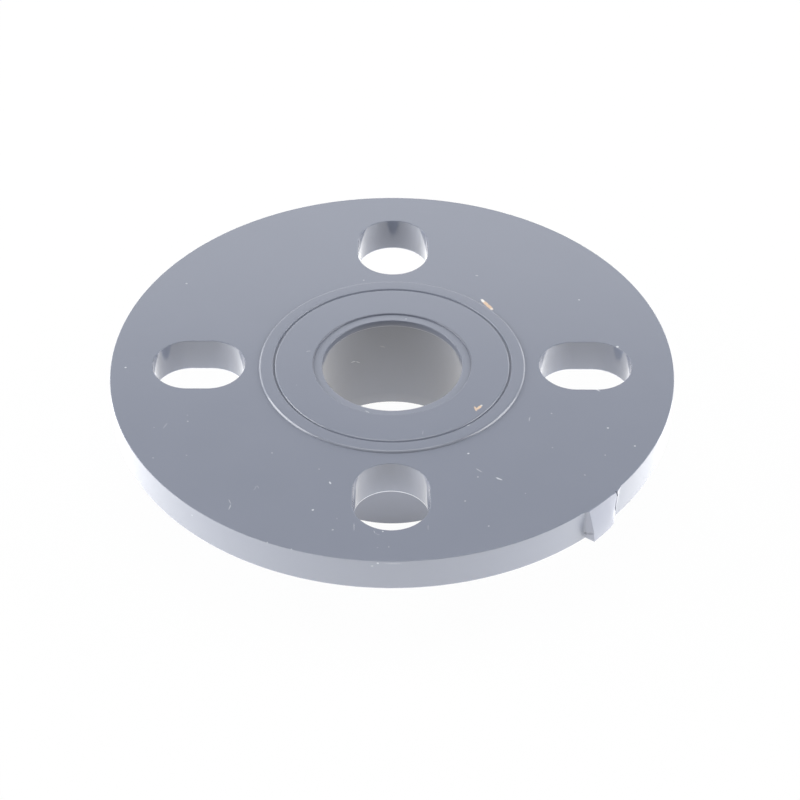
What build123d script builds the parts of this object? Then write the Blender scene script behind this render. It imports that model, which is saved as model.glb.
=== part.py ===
# Full face flange for solvent cemented plastic pipe, moulded in one piece.
#
# The origin is at the centre of the hub's foot, which the flange stands on.
# +Z runs along the pipe axis and out of the gasket face. +X and +Y each run
# through the middle of a bolt slot. All sizes are in millimetres.

import os
from math import cos, radians, sin

from build123d import *

# Plate
plate_diameter = 140.0
plate_thickness = 9.2
rim_draft = 1.0  # degrees, the rim narrows towards the back
rim_face_edge_radius = 0.2
rim_back_edge_radius = 0.6

# Hub, from the foot up to the plate's back
hub_length = 21.4
hub_foot_diameter = 50.6
hub_draft = 1.0  # degrees, the hub widens towards the plate
hub_root_radius = 2.0
hub_foot_edge_radius = 0.4

# Pipe socket in the hub, with a small clearance round the pipe
pipe_diameter = 42.0
pipe_clearance = 0.2  # on the diameter
socket_lead_in = 0.3

# Raised gasket seat, with a sealing groove and a shallow recess at the bore
seat_diameter = 66.2
seat_height = 0.6
seat_edge_draft = 8.0  # degrees
seat_edge_radius = 0.2
groove_diameter = 58.8
groove_width = 0.5
groove_depth = 0.6
recess_diameter = 39.2
recess_depth = 0.5
recess_edge_radius = 0.3

# Lip that stops the pipe at the front of the socket
lip_thickness = 2.0
lip_bore_diameter = 34.8
lip_edge_radius = 0.2

# Bolt slots, evenly spaced and pointing at the axis
slot_count = 4
slot_width = 18.3
slot_length = 23.2
slot_centre_radius = 48.1
slot_edge_radius = 0.25

# Stub of the cut moulding gate, proud of the rim. One side is whole. The other
# was pulled in when the gate was cut, and its foot broke off.
gate_angle = -45.0  # degrees from +X
gate_width = 9.8
gate_depth = 8.3
gate_root = 3.0  # how far the stub is sunk into the plate
gate_face_proud = 0.35
gate_waist_depth = 5.0
gate_whole_waist_proud = 2.0
gate_whole_foot_proud = 2.5
gate_pulled_waist_proud = 0.45
gate_pulled_foot_proud = 1.35
gate_break_depth = 5.2  # from the face to the break, at the stub's side
gate_break_slope = 49.0  # degrees, the break runs down and inwards

# Levels and radii that follow from the sizes above
plate_radius = plate_diameter / 2
face_level = hub_length + plate_thickness
seat_level = face_level + seat_height
ledge_level = seat_level - recess_depth
socket_depth = ledge_level - lip_thickness
socket_diameter = pipe_diameter + pipe_clearance

# The stub runs between a section at its whole side and one at its pulled side,
# each drawn outwards from the rim and down from the face.
outwards = Vector(cos(radians(gate_angle)), sin(radians(gate_angle)), 0)
along_rim = Vector(-sin(radians(gate_angle)), cos(radians(gate_angle)), 0)
rim_at_gate = outwards * plate_radius + Vector(0, 0, face_level)
whole_side = Plane(
    origin=rim_at_gate - along_rim * (gate_width / 2),
    x_dir=outwards,
    z_dir=along_rim * -1,
)
pulled_side = whole_side.offset(-gate_width)
break_plane = Plane(
    origin=rim_at_gate + along_rim * (gate_width / 2) - Vector(0, 0, gate_break_depth),
    x_dir=outwards,
    z_dir=along_rim.rotate(Axis((0, 0, 0), outwards), gate_break_slope - 90),
)
with BuildPart() as gate_stub:
    for side, waist_proud, foot_proud in (
        (whole_side, gate_whole_waist_proud, gate_whole_foot_proud),
        (pulled_side, gate_pulled_waist_proud, gate_pulled_foot_proud),
    ):
        with BuildSketch(side):
            with BuildLine():
                Polyline(
                    (-gate_root, 0),
                    (gate_face_proud, 0),
                    (waist_proud, -gate_waist_depth),
                    (foot_proud, -gate_depth),
                    (-gate_root, -gate_depth),
                    close=True,
                )
            make_face()
    loft(ruled=True)
    split(bisect_by=break_plane, keep=Keep.BOTTOM)

with BuildPart() as flange:
    # Plate, drawn at the face and tapered towards the back
    with BuildSketch(Plane.XY.offset(face_level)):
        Circle(plate_radius)
    extrude(amount=plate_thickness, dir=(0, 0, -1), taper=rim_draft)
    fillet(flange.edges().group_by(Axis.Z)[-1], radius=rim_face_edge_radius)
    fillet(flange.edges().group_by(Axis.Z)[0], radius=rim_back_edge_radius)

    # Bolt slots, right through
    with BuildSketch(Plane.XY.offset(face_level)):
        with PolarLocations(slot_centre_radius, slot_count):
            SlotOverall(slot_length, slot_width)
    extrude(amount=-plate_thickness, mode=Mode.SUBTRACT)
    fillet(flange.edges(Select.LAST).filter_by(Plane.XY), radius=slot_edge_radius)

    # Hub, rounded at its foot and at its root on the plate's back
    with BuildSketch(Plane.XY):
        Circle(hub_foot_diameter / 2)
    extrude(amount=hub_length, taper=-hub_draft)
    hub_root = flange.edges(Select.LAST).filter_by(Plane.XY).sort_by(Axis.Z)[-1]
    fillet(hub_root, radius=hub_root_radius)
    hub_foot = flange.edges().filter_by(Plane.XY).sort_by(Axis.Z)[0]
    fillet(hub_foot, radius=hub_foot_edge_radius)

    # Gasket seat, a low boss
    with BuildSketch(Plane.XY.offset(face_level)):
        Circle(seat_diameter / 2)
    extrude(amount=seat_height, taper=seat_edge_draft)
    seat_edge = flange.edges(Select.LAST).filter_by(Plane.XY).sort_by(Axis.Z)[-1]
    fillet(seat_edge, radius=seat_edge_radius)

    # Sealing groove
    with BuildSketch(Plane.XY.offset(seat_level)):
        Circle((groove_diameter + groove_width) / 2)
        Circle((groove_diameter - groove_width) / 2, mode=Mode.SUBTRACT)
    extrude(amount=-groove_depth, mode=Mode.SUBTRACT)

    # Recess round the bore
    with BuildSketch(Plane.XY.offset(seat_level)):
        Circle(recess_diameter / 2)
    extrude(amount=-recess_depth, mode=Mode.SUBTRACT)
    recess_edge = flange.edges(Select.LAST).filter_by(Plane.XY).sort_by(Axis.Z)[-1]
    fillet(recess_edge, radius=recess_edge_radius)

    # Pipe socket, with a lead-in at its mouth
    with BuildSketch(Plane.XY):
        Circle(socket_diameter / 2)
    extrude(amount=socket_depth, mode=Mode.SUBTRACT)
    socket_mouth = flange.edges(Select.LAST).filter_by(Plane.XY).sort_by(Axis.Z)[0]
    chamfer(socket_mouth, length=socket_lead_in)

    # Bore through the lip
    with BuildSketch(Plane.XY.offset(ledge_level)):
        Circle(lip_bore_diameter / 2)
    extrude(amount=-lip_thickness, mode=Mode.SUBTRACT)
    fillet(flange.edges(Select.LAST).filter_by(Plane.XY), radius=lip_edge_radius)

    # Stub of the moulding gate
    add(gate_stub.part)

flange.part.label = "flange"
os.makedirs("parts", exist_ok=True)
export_step(flange.part, "parts/flange.step")
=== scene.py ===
from math import cos, pi, radians, sin

import bmesh
import bpy
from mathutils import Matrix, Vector


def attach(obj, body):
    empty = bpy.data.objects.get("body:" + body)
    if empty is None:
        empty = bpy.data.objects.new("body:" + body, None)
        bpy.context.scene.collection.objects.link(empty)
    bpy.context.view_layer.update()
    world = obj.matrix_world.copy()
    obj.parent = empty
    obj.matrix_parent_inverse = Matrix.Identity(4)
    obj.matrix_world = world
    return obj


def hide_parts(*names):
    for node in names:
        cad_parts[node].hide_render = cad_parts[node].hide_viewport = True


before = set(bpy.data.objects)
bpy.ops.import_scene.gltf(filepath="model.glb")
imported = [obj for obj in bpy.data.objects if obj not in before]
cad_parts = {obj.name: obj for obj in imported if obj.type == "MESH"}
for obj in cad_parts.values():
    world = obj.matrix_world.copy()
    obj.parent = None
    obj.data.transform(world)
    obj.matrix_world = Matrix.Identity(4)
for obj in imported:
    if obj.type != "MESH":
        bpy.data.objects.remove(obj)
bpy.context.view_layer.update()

# The flange: plate, hub, pipe socket and raised gasket seat, injection moulded in
# one piece of rigid grey PVC. It is turned up here as rings round the pipe axis,
# from the lip's bore outwards over the face, round the rim and down the hub.
mm = 0.001
face = 30.6
seat = 31.2
recess = 30.7
groove_floor = 30.75
back = 21.4
lip_back = 28.7
bore_radius = 17.4
rim_radius = 70.0
ring_sides = 384
profile = [  # radius and height of each ring, then the rounding of its corner and the steps of that
    (19.6, recess, 0.1, 2), (19.6, seat, 0.25, 4),  # recess round the bore
    (29.25, seat, 0.5, 6), (29.25, groove_floor, 0, 0),  # groove
    (29.6, groove_floor, 0, 0), (29.75, seat, 0.12, 2),
    (33.02, seat, 0.55, 7), (33.1, face, 0, 0),  # seat
    (rim_radius, face, 0.2, 4), (69.84, back, 0.6, 5),  # rim
    (25.67, back, 2.0, 8), (25.3, 0.0, 0.4, 4),  # hub
    (21.4, 0.0, 0, 0), (21.1, 0.3, 0, 0), (21.1, lip_back, 0.4, 3),  # pipe socket
    (bore_radius, lip_back, 0.2, 3), (bore_radius, recess, 0.3, 4),  # lip
]


def pick(thing, place):
    """Selects the edges whose two ends both lie at the place, in edit mode."""
    bpy.ops.mesh.select_all(action="DESELECT")
    shape = bmesh.from_edit_mesh(thing.data)
    for edge in shape.edges:
        edge.select = all(place(end.co / mm) for end in edge.verts)
    shape.select_flush(True)
    bmesh.update_edit_mesh(thing.data)


def on_ring(radius, height):
    """A test for points on one ring round the pipe axis."""
    return lambda point: abs(point.xy.length - radius) < 0.01 and abs(point.z - height) < 0.01


bpy.ops.object.select_all(action="DESELECT")
bpy.ops.mesh.primitive_circle_add(
    vertices=ring_sides, radius=bore_radius * mm, location=(0, 0, recess * mm)
)
flange = bpy.context.object
flange.name = flange.data.name = "flange_body"
bpy.ops.object.transform_apply()
bpy.ops.object.mode_set(mode="EDIT")
bpy.ops.mesh.select_mode(type="EDGE")
radius, height = bore_radius, recess
for next_radius, next_height, *corner in profile:
    bpy.ops.mesh.extrude_edges_move(
        TRANSFORM_OT_translate={"value": (0, 0, (next_height - height) * mm)}
    )
    grow = next_radius / radius
    bpy.ops.transform.resize(value=(grow, grow, 1), center_override=(0, 0, 0))
    radius, height = next_radius, next_height
bpy.ops.mesh.select_all(action="SELECT")
bpy.ops.mesh.remove_doubles(threshold=0.002 * mm)
bpy.ops.mesh.normals_make_consistent(inside=False)

for radius, height, rounding, steps in profile:
    if rounding:
        pick(flange, on_ring(radius, height))
        bpy.ops.mesh.bevel(offset=rounding * mm, offset_type="OFFSET", segments=steps, profile=0.5)
bpy.ops.object.mode_set(mode="OBJECT")

# Bolt slots, four alike at a quarter turn, open through the plate. Cores in the
# mould form them, and their edges are a little rounded at both faces. One core
# is made at its place, with flared ends, and copied round the axis.
slot_half_width = 9.15
slot_half_straight = 2.35
slot_radius = 48.1
flare = 0.2
core_reach = 1
core_sides = 128

bpy.ops.object.select_all(action="DESELECT")
bpy.ops.mesh.primitive_circle_add(
    vertices=core_sides, radius=(slot_half_width + flare) * mm, fill_type="NGON",
    location=(0, 0, (back - core_reach) * mm), rotation=(0, 0, pi / core_sides),
)
core = bpy.context.object
bpy.ops.object.transform_apply()
bpy.ops.object.mode_set(mode="EDIT")
quarter_arc = [radians(15 * step) for step in range(7)]
core_rings = []
for turn in quarter_arc:
    core_rings.append((slot_half_width + flare * (1 - sin(turn)), back + flare * (1 - cos(turn))))
for turn in quarter_arc:
    core_rings.append((slot_half_width + flare * (1 - cos(turn)), face - flare * (1 - sin(turn))))
core_rings.append((slot_half_width + flare, face + core_reach))
radius, height = slot_half_width + flare, back - core_reach
for next_radius, next_height in core_rings:
    bpy.ops.mesh.extrude_region_move(
        TRANSFORM_OT_translate={"value": (0, 0, (next_height - height) * mm)}
    )
    grow = next_radius / radius
    bpy.ops.transform.resize(value=(grow, grow, 1), center_override=(0, 0, 0))
    radius, height = next_radius, next_height
for side in (-1, 1):
    bpy.ops.mesh.select_all(action="DESELECT")
    shape = bmesh.from_edit_mesh(core.data)
    for point in shape.verts:
        point.select = point.co.x * side > 0
    shape.select_flush(True)
    bmesh.update_edit_mesh(core.data)
    bpy.ops.transform.translate(value=(side * slot_half_straight * mm, 0, 0))
bpy.ops.mesh.select_all(action="SELECT")
bpy.ops.transform.translate(value=(slot_radius * mm, 0, 0))
bpy.ops.mesh.normals_make_consistent(inside=False)
bpy.ops.object.mode_set(mode="OBJECT")
cores = [core]
for quarter in range(1, 4):
    bpy.ops.object.select_all(action="DESELECT")
    core.select_set(True)
    bpy.context.view_layer.objects.active = core
    bpy.ops.object.duplicate()
    turned = bpy.context.object
    turned.rotation_euler.z = quarter * pi / 2
    bpy.ops.object.transform_apply()
    cores.append(turned)
bpy.ops.object.select_all(action="DESELECT")
for one in cores:
    one.select_set(True)
bpy.context.view_layer.objects.active = core
bpy.ops.object.join()

# Stub of the moulding gate on the rim. The plastic was let in here, and the gate
# was cut off flush with the face. Its foot is still proud, one side was pulled in
# and broken away, and a crack runs down between that side and the rim.
gate_turn = radians(-45)


def block_from_front(rows, sunk):
    """A block on the rim, whose front has rows of points: proud of the rim, along it, below the face."""
    bpy.ops.object.select_all(action="DESELECT")
    across, down = len(rows[0]) - 1, len(rows) - 1
    bpy.ops.mesh.primitive_grid_add(x_subdivisions=across, y_subdivisions=down, size=2)
    block = bpy.context.object
    for corner in block.data.vertices:
        column, row = round((corner.co.x + 1) / 2 * across), round((1 - corner.co.y) / 2 * down)
        proud, along, below = rows[row][column]
        corner.co = Vector((rim_radius + proud, along, face - below)) * mm
    bpy.ops.object.mode_set(mode="EDIT")
    bpy.ops.mesh.select_all(action="SELECT")
    bpy.ops.mesh.extrude_region_move(TRANSFORM_OT_translate={"value": (-sunk * mm, 0, 0)})
    bpy.ops.mesh.select_all(action="SELECT")
    bpy.ops.mesh.normals_make_consistent(inside=False)
    bpy.ops.object.mode_set(mode="OBJECT")
    block.rotation_euler.z = gate_turn
    bpy.ops.object.transform_apply()
    return block


stub = block_from_front([
    [(-0.6, -6.8, 0), (-0.28, -6.0, 0), (0.40, -4.9, 0),
     (0.44, -1.5, 0), (0.40, 1.3, 0), (0.34, 2.9, 0), (0.45, 4.9, 0), (-0.35, 7.2, 0)],
    [(-0.6, -6.8, 3.1), (-0.27, -5.8, 3.1), (1.42, -4.9, 3.1),
     (1.3, -1.5, 3.1), (1.1, 1.3, 3.1), (0.85, 2.9, 3.1), (0.33, 4.9, 3.1), (-0.7, 7.0, 3.1)],
    [(-0.6, -6.8, 5.2), (-0.26, -5.65, 5.2), (2.05, -4.9, 5.2),
     (1.9, -1.5, 5.2), (1.6, 1.3, 5.2), (1.25, 2.9, 5.2), (0.4, 4.9, 5.2), (-0.8, 6.5, 5.2)],
    [(-0.6, -6.8, 6.9), (-0.25, -5.5, 6.9), (2.3, -4.9, 6.9),
     (2.15, -1.5, 6.9), (1.85, 1.3, 6.9), (1.5, 3.0, 6.9), (0.25, 4.8, 6.9), (-0.8, 6.0, 6.9)],
    [(-0.6, -6.8, 8.3), (-0.24, -5.4, 8.3), (2.54, -4.9, 8.3),
     (2.3, -1.5, 8.3), (2.0, 1.3, 8.3), (1.6, 2.9, 8.3), (0.05, 4.6, 8.3), (-0.8, 5.6, 8.3)],
], sunk=4.5)
bpy.ops.object.modifier_add(type="BEVEL")
stub.modifiers[-1].width = 0.12 * mm
stub.modifiers[-1].segments = 2
stub.modifiers[-1].angle_limit = radians(25)
bpy.ops.object.modifier_apply(modifier=stub.modifiers[-1].name)
crack_line = [  # proud of the rim, along it, below the face, half its width
    (3.15, 4.65, -0.3, 0.16), (3.1, 4.7, 0.2, 0.2), (2.0, 5.3, 1.7, 0.28),
    (1.0, 4.9, 2.9, 0.18), (1.0, 4.4, 4.3, 0.32), (1.2, 4.4, 5.7, 0.2),
]
crack = block_from_front(
    [
        [(proud, along - half, below), (proud, along + half, below)]
        for proud, along, below, half in crack_line
    ],
    sunk=3.2,
)

for other, way in ((stub, "UNION"), (crack, "DIFFERENCE"), (core, "DIFFERENCE")):
    bpy.ops.object.select_all(action="DESELECT")
    flange.select_set(True)
    bpy.context.view_layer.objects.active = flange
    bpy.ops.object.modifier_add(type="BOOLEAN")
    cut = flange.modifiers[-1]
    cut.operation = way
    cut.solver = "EXACT"
    cut.object = other
    bpy.ops.object.modifier_apply(modifier=cut.name)
    bpy.data.objects.remove(other)
bpy.ops.object.shade_smooth_by_angle(angle=radians(40))
bpy.ops.object.modifier_add(type="WEIGHTED_NORMAL")
flange.modifiers[-1].keep_sharp = True
bpy.ops.object.modifier_apply(modifier=flange.modifiers[-1].name)
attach(flange, "root")
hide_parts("flange")


# The plastic: blue grey, glossy on the walls and satin on the face, as the mould's
# steel left it. Storage and handling have left specks and short scratches on it and two
# splinters of pale wood. The crack is painted dark as shade, and the stub's foot has dark spots.
class Wire:
    """An output of one of a material's nodes. Sums and products of wires add their own nodes."""

    def __init__(self, socket):
        self.socket = socket

    def node(self, kind, settings, inputs, output=0):
        tree = self.socket.id_data
        made = tree.nodes.new(kind)
        for name, value in settings.items():
            setattr(made, name, value)
        for name, value in inputs.items():
            if isinstance(value, Wire):
                tree.links.new(value.socket, made.inputs[name])
            else:
                made.inputs[name].default_value = value
        return Wire(made.outputs[output])

    def maths(self, operation, first, second):
        return self.node("ShaderNodeMath", {"operation": operation}, {0: first, 1: second})

    def __add__(self, other):
        return self.maths("ADD", self, other)

    def __sub__(self, other):
        return self.maths("SUBTRACT", self, other)

    def __rsub__(self, other):
        return self.maths("SUBTRACT", other, self)

    def __mul__(self, other):
        return self.maths("MULTIPLY", self, other)

    __radd__ = __add__
    __rmul__ = __mul__

    def ramp(self, start, end):
        """A mask that rises from 0 to 1 between two places, in millimetres."""
        limits = {"From Min": start * mm, "From Max": end * mm}
        return self.node("ShaderNodeMapRange", {}, {"Value": self, **limits})

    def near(self, middle, reach):
        """A mask that is 1 within reach of a place, in millimetres, and 0 elsewhere."""
        sizes = {1: middle * mm, 2: reach * mm}
        return self.node("ShaderNodeMath", {"operation": "COMPARE"}, {0: self, **sizes})

    def blend(self, low, high):
        """The low colour where this mask is 0, and the high one where it is 1."""
        return self.node("ShaderNodeMix", {"data_type": "RGBA"}, {0: self, 6: low, 7: high}, output=2)


pvc = bpy.data.materials.new("grey_pvc")
pvc.use_nodes = True
plastic = pvc.node_tree.nodes["Principled BSDF"]
place = Wire(pvc.node_tree.nodes.new("ShaderNodeTexCoord").outputs["Object"])
cloud = place.node("ShaderNodeTexNoise", {}, {"Vector": place, "Scale": 60.0, "Detail": 3.0})
grain = place.node("ShaderNodeTexNoise", {}, {"Vector": place, "Scale": 2500.0, "Detail": 2.0})

# Marks are small ellipsoids. A little noise in the coordinates makes their edges ragged.
raggedness = 0.3 * mm
wobble = place.node("ShaderNodeTexNoise", {}, {"Vector": place, "Scale": 1500.0}, output=1)
ragged = place.node(
    "ShaderNodeVectorMath", {"operation": "MULTIPLY_ADD"}, {0: wobble, 1: (raggedness,) * 3, 2: place}
)
ragged = place.node(
    "ShaderNodeVectorMath", {"operation": "SUBTRACT"}, {0: ragged, 1: (raggedness / 2,) * 3}
)


def marked(marks):
    """A mask of marks: each at a place or from one to another, then half its width and its strength."""
    covered = None
    for *ends, half_width, strength in marks:
        start, end = Vector(ends[0]) * mm, Vector(ends[-1]) * mm
        reach = end - start
        turn = reach.to_track_quat("X", "Z").to_euler() if reach.length else (0, 0, 0)
        half = half_width * mm
        spot = place.node(
            "ShaderNodeMapping", {"vector_type": "TEXTURE"},
            {"Vector": ragged, "Location": (start + end) / 2, "Rotation": turn,
             "Scale": (reach.length / 2 + half, half, half)},
        )
        spot = place.node("ShaderNodeVectorMath", {"operation": "LENGTH"}, {0: spot}, output=1)
        spot = place.node(
            "ShaderNodeMapRange", {}, {"Value": spot, "From Min": 1.0, "From Max": 0.6, "To Max": strength}
        )
        covered = place.maths("MAXIMUM", covered, spot) if covered else spot
    return covered


dust = marked([
    # on the face's back half
    ((-53.2, 32.4, face), 0.35, 0.45), ((-66.2, -1.4, face), 0.3, 0.85), ((56.5, 7.3, face), 0.4, 1.0),
    ((47.8, 26.1, face), 0.3, 0.5), ((21.6, 36.1, face), (22.0, 36.1, face), 0.3, 0.3),
    ((-7.5, 34.0, face), 0.25, 0.5),
    # on its front half, at the right
    ((50.2, -9.2, face), (51.1, -9.8, face), 0.25, 0.8), ((52.3, -23.6, face), 0.28, 0.8),
    ((58.4, -30.1, face), 0.3, 0.9), ((51.1, -33.4, face), 0.25, 0.35), ((45.9, -40.5, face), 0.25, 0.3),
    ((38.9, -18.3, face), 0.25, 0.4), ((38.6, -30.8, face), 0.2, 0.35),
    ((33.6, -19.5, face), (33.3, -21.3, face), 0.18, 0.3), ((31.6, -47.0, face), 0.2, 0.3),
    # on its front half, at the left
    ((-49.7, -19.4, face), 0.22, 0.25), ((-49.5, -21.6, face), 0.3, 0.3),
    ((-55.3, -24.3, face), (-54.4, -22.2, face), 0.22, 0.2), ((-57.5, -23.9, face), 0.2, 0.25),
    ((-56.9, -34.9, face), 0.28, 0.25), ((-49.0, -33.9, face), 0.3, 0.25),
    ((-28.6, -33.0, face), 0.25, 0.35), ((-17.2, -38.7, face), 0.25, 0.25),
    ((-38.2, -49.3, face), (-37.5, -51.0, face), 0.16, 0.3),
    ((-37.5, -51.0, face), (-38.0, -53.0, face), 0.16, 0.4),
    ((-32.5, -46.3, face), (-31.7, -44.5, face), 0.15, 0.2),
    ((-31.7, -44.5, face), (-31.2, -45.6, face), 0.15, 0.25),
    ((-14.6, -43.2, face), (-14.4, -43.8, face), 0.25, 1.0), ((-18.3, -52.9, face), 0.33, 1.0),
    # round the front slot and in front of it
    ((-12.6, -55.8, face), 0.25, 0.2), ((-13.5, -59.6, face), 0.3, 0.4),
    ((-8.6, -57.1, face), (-8.6, -60.1, face), 0.16, 0.3),
    ((-4.0, -59.7, face), (-3.7, -60.8, face), 0.15, 0.3),
    ((-3.7, -60.8, face), (-2.6, -61.3, face), 0.15, 0.2), ((-1.9, -60.1, face), 0.25, 0.85),
    ((-3.1, -65.5, face), 0.24, 0.2), ((-0.5, -65.3, face), 0.22, 0.4),
    ((8.6, -57.9, face), (8.6, -59.6, face), 0.17, 0.2), ((18.4, -33.0, face), 0.3, 1.0),
    ((24.9, -41.6, face), (26.1, -42.3, face), 0.28, 0.9),
    ((20.1, -38.3, face), (21.5, -39.6, face), 0.25, 0.3), ((20.5, -41.3, face), 0.28, 0.4),
    ((17.3, -49.7, face), 0.28, 0.4), ((22.7, -58.2, face), 0.28, 0.45),
    ((-28.5, -63.9, face), 0.25, 0.5), ((-22.9, -66.1, face), 0.25, 0.45),
    # on the rim
    ((-3.0, -69.9, 29.9), 0.3, 0.7), ((-4.3, -69.8, 28.9), 0.35, 0.3),
    ((-1.7, -70.0, 29.8), (2.7, -69.9, 29.8), 0.15, 0.25), ((-46.7, -52.1, 28.0), 0.25, 0.55),
    # in the recess
    ((-1.1, 17.4, recess), (-0.8, 17.1, recess), 0.2, 0.35),
    ((3.3, 18.1, recess), (3.6, 18.0, recess), 0.2, 0.5),
    ((-6.4, -17.6, recess), (-5.5, -18.3, recess), 0.2, 0.45),
    # on the seat
    ((-21.5, 4.3, seat), (-20.3, 4.6, seat), 0.15, 0.3), ((-23.5, -8.6, seat), 0.22, 0.2),
    ((7.6, -25.4, seat), (7.4, -26.9, seat), 0.16, 0.2),
    ((17.0, -23.8, seat), (18.9, -23.3, seat), 0.22, 0.9),
    # scratches in the socket
    ((-10.6, 18.2, 16.1), (-9.5, 18.8, 15.9), 0.2, 0.9),
    ((-9.5, 18.8, 15.9), (-8.4, 19.4, 15.0), 0.18, 0.65),
    ((-3.2, 20.9, 19.4), (-1.9, 21.0, 18.9), 0.2, 0.2),
])
splinters = marked([
    ((23.1, 25.7, face), (24.4, 23.6, face), 0.58, 1.0), ((24.0, 24.2, face), (25.4, 22.2, face), 0.62, 1.0),
    ((20.7, -17.5, seat), (21.7, -16.3, seat), 0.45, 1.0),
    ((20.2, -16.6, seat), (20.6, -18.0, seat), 0.32, 0.9),
])
pale_ends = marked([
    ((22.9, 26.0, face), (23.3, 25.3, face), 0.48, 1.0), ((25.3, 22.3, face), 0.5, 0.6),
    ((21.9, -16.1, seat), 0.35, 0.6),
])
outwards = Vector((cos(gate_turn), sin(gate_turn), 0))
sideways = Vector((-sin(gate_turn), cos(gate_turn), 0))


def on_gate(proud, along, below):
    """A place near the stub, given as in the rows of its front."""
    return outwards * (rim_radius + proud) + sideways * along + Vector((0, 0, face - below))


# Painted shade down the crack, where light hardly gets in, and dark spots at the foot of the stub's other
# side.
crack_shade_and_foot_spots = marked([
    # down the crack
    (on_gate(-1.0, 5.0, 0.9), on_gate(-1.0, 5.3, 1.7), 0.95, 1.0),
    (on_gate(-1.0, 5.1, 2.4), on_gate(-1.0, 4.5, 4.3), 0.9, 1.0),
    (on_gate(-0.8, 4.4, 4.5), on_gate(-0.7, 4.4, 5.9), 0.85, 1.0),
    # at the foot of the stub's other side
    (on_gate(0.1, -5.3, 6.8), 0.55, 0.8),
    (on_gate(0.6, -5.25, 6.7), on_gate(1.9, -5.0, 6.1), 0.45, 0.7),
])
tone = cloud.blend((0.230, 0.251, 0.310, 1), (0.242, 0.263, 0.324, 1))
for mask, colour in (
    (dust, (0.58, 0.61, 0.66, 1)),
    (splinters, (0.74, 0.55, 0.40, 1)),
    (pale_ends, (0.86, 0.84, 0.82, 1)),
    (crack_shade_and_foot_spots, (0.05, 0.055, 0.075, 1)),
):
    tone = mask.blend(tone, colour)

# Masks of the moulded forms, by the height above the foot, the distance from the
# pipe axis, and how far a place lies towards the back.
above = place.node("ShaderNodeSeparateXYZ", {}, {0: place}, output=2)
rearward = place.node("ShaderNodeSeparateXYZ", {}, {0: place}, output=1)
level = place.node("ShaderNodeVectorMath", {"operation": "MULTIPLY"}, {0: place, 1: (1, 1, 0)})
off_axis = place.node("ShaderNodeVectorMath", {"operation": "LENGTH"}, {0: level}, output=1)
flat = above.ramp(face - 0.1, face - 0.02)
rim = off_axis.ramp(rim_radius - 1.5, rim_radius - 1.0)
bored = off_axis.ramp(bore_radius + 0.2, bore_radius + 0.1)
rearmost = rearward.ramp(10, 19)

# Painted shade: steps and grooves are painted darker inside, where shade falls: the lip's bore,
# the back half of the recess's edge and the groove's floor.
recess_edge = flat * rearward.ramp(-8, 0) * off_axis.near(19.66, 0.19)
groove = flat * off_axis.near(29.43, 0.17) * above.ramp(seat - 0.2, seat - 0.4)
painted_shade = bored * 0.35 + recess_edge * (0.62 - rearmost * 0.25) + groove * 0.2
tone = painted_shade.blend(tone, (0.08, 0.09, 0.13, 1))

# Painted light: thin pale lines are painted highlights at the foot of each slot and of the lip and
# on the seat's edge; the floor of the recess, paler towards the back, and the socket's foot are painted
# paler as light.
slot_foot = above.near(back + 0.17, 0.14) * off_axis.near(48, 12.5)
lip_foot = above.near(lip_back + 0.15, 0.15) * bored
seat_edge = off_axis.near(33.0, 0.15) * flat
ledge = flat * off_axis.near(18.5, 0.9)
socket_foot = above.ramp(3.5, 0.5) * off_axis.ramp(21.5, 21.3)
painted_light = slot_foot + lip_foot * 0.3 + seat_edge * 0.12 + ledge * (0.04 + rearmost * 0.06) + socket_foot * 0.09
tone = painted_light.blend(tone, (0.70, 0.72, 0.79, 1))

# The stub is painted a little paler than the moulded skin: painted light that lifts its faces, whose side
# the plate shades from the lamps.
stub_painted_light = off_axis.ramp(rim_radius + 0.05, rim_radius + 0.4)
tone = (stub_painted_light * 0.21).blend(tone, (0.53, 0.55, 0.67, 1))

finish = 0.06 + flat * 0.12 + rim * (1 - flat) * 0.25 + (bored + recess_edge) * 0.4
links = pvc.node_tree.links
links.new(tone.socket, plastic.inputs["Base Color"])
links.new((finish + cloud * 0.04 + dust * 0.3 + splinters * 0.4).socket, plastic.inputs["Roughness"])
bump = place.node("ShaderNodeBump", {}, {"Height": grain, "Strength": 0.03, "Distance": 0.0001})
links.new(bump.socket, plastic.inputs["Normal"])
links.new((flat * 0.85).socket, plastic.inputs["Coat Weight"])
plastic.inputs["Coat Roughness"].default_value = 0.2
flange.data.materials.clear()
flange.data.materials.append(pvc)

# The table that it stands on: a sheet of white paper that goes out white in the
# picture but still takes a faint shadow from the flange. It glows on the plastic, a
# little less round the hub's foot, and more strongly in what the plastic mirrors.
bpy.ops.object.select_all(action="DESELECT")
bpy.ops.mesh.primitive_plane_add(size=8, location=(0, 0, 0))
table = bpy.context.object
table.name = table.data.name = "table_top"
paper = bpy.data.materials.new("white_paper")
paper.use_nodes = True
sheet = paper.node_tree.nodes["Principled BSDF"]
sheet.inputs["Base Color"].default_value = (0.9, 0.9, 0.9, 1)
sheet.inputs["Roughness"].default_value = 1.0
sheet.inputs["Specular IOR Level"].default_value = 0.0
sheet = Wire(sheet.outputs[0])
sheet_place = Wire(paper.node_tree.nodes.new("ShaderNodeTexCoord").outputs["Object"])
away = sheet_place.node("ShaderNodeVectorMath", {"operation": "LENGTH"}, {0: sheet_place}, output=1)
beyond = away.ramp(30, 50)
inside = away.ramp(23, 21)
glossy_ray = away.node("ShaderNodeLightPath", {}, {}, output="Is Glossy Ray")
tint = beyond.blend((1.0, 0.96, 0.875, 1), (1.0, 0.98, 0.94, 1))
brightest = 2.5
glow = away.node("ShaderNodeEmission", {}, {"Color": tint, "Strength": brightest})
share = away.maths("MAXIMUM", beyond * 0.42 + 0.58, inside) * (0.85 + glossy_ray * 0.6) + glossy_ray * 0.9
glow = away.node("ShaderNodeMixShader", {}, {0: share * (1 / brightest), 2: glow})
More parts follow.
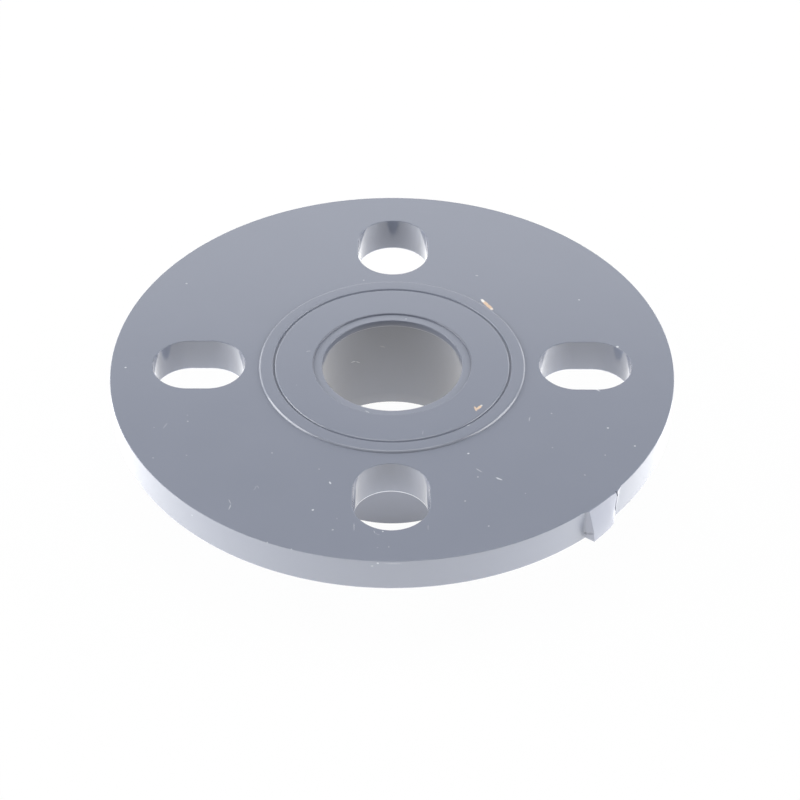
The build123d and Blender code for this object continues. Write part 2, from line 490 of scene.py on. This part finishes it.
lit = sheet.node("ShaderNodeAddShader", {}, {0: sheet, 1: glow})
white = sheet.node("ShaderNodeEmission", {}, {"Strength": 1.0})
pictured = sheet.node("ShaderNodeMixShader", {}, {0: 0.97, 1: sheet, 2: white})
camera_ray = sheet.node("ShaderNodeLightPath", {}, {})
surface = sheet.node("ShaderNodeMixShader", {}, {0: camera_ray, 1: lit, 2: pictured})
paper.node_tree.links.new(surface.socket, paper.node_tree.nodes["Material Output"].inputs[0])
table.data.materials.append(paper)

# Studio light: soft boxes at the left and right, weaker ones behind, at the back
# corners and overhead, in a dim white room. The side towards the camera has none.
room = bpy.data.worlds.new("white_room")
bpy.context.scene.world = room
room.use_nodes = True
room.node_tree.nodes["Background"].inputs["Color"].default_value = (1, 1, 1, 1)
room.node_tree.nodes["Background"].inputs["Strength"].default_value = 0.12
soft_boxes = [  # name, place, width, height, watts
    ("left_box", (-0.9, 0.0, 0.33), 0.8, 0.9, 10.6),
    ("right_box", (0.9, 0.0, 0.33), 0.8, 0.9, 8.4),
    ("back_left_box", (-0.62, 0.62, 0.25), 0.5, 0.4, 1.2),
    ("back_right_box", (0.62, 0.62, 0.25), 0.5, 0.4, 1.2),
    ("back_box", (0.0, 0.9, 0.38), 0.9, 0.62, 1.7),
    ("top_box", (0.0, 0.0, 1.0), 0.8, 0.8, 4.3),
]
for name, stand, width, tall, watts in soft_boxes:
    aim = (Vector((0, 0, 0.02)) - Vector(stand)).to_track_quat("-Z", "Y").to_euler()
    bpy.ops.object.light_add(type="AREA", location=stand, rotation=aim)
    box = bpy.context.object
    box.name = name
    box.data.shape = "RECTANGLE"
    box.data.size = width
    box.data.size_y = tall
    box.data.energy = watts

# Camera, above the front of the face, where the photograph was taken from: the
# rim, the slots and the rings lie as they do there.
bpy.ops.object.camera_add(
    location=(0.002006, -0.50372, 0.452487),
    rotation=(radians(49.2877), radians(-0.1244), radians(0.1101)),
)
camera = bpy.context.object
camera.data.lens = 118.841
bpy.context.scene.camera = camera
bpy.context.scene.view_settings.view_transform = "Standard"
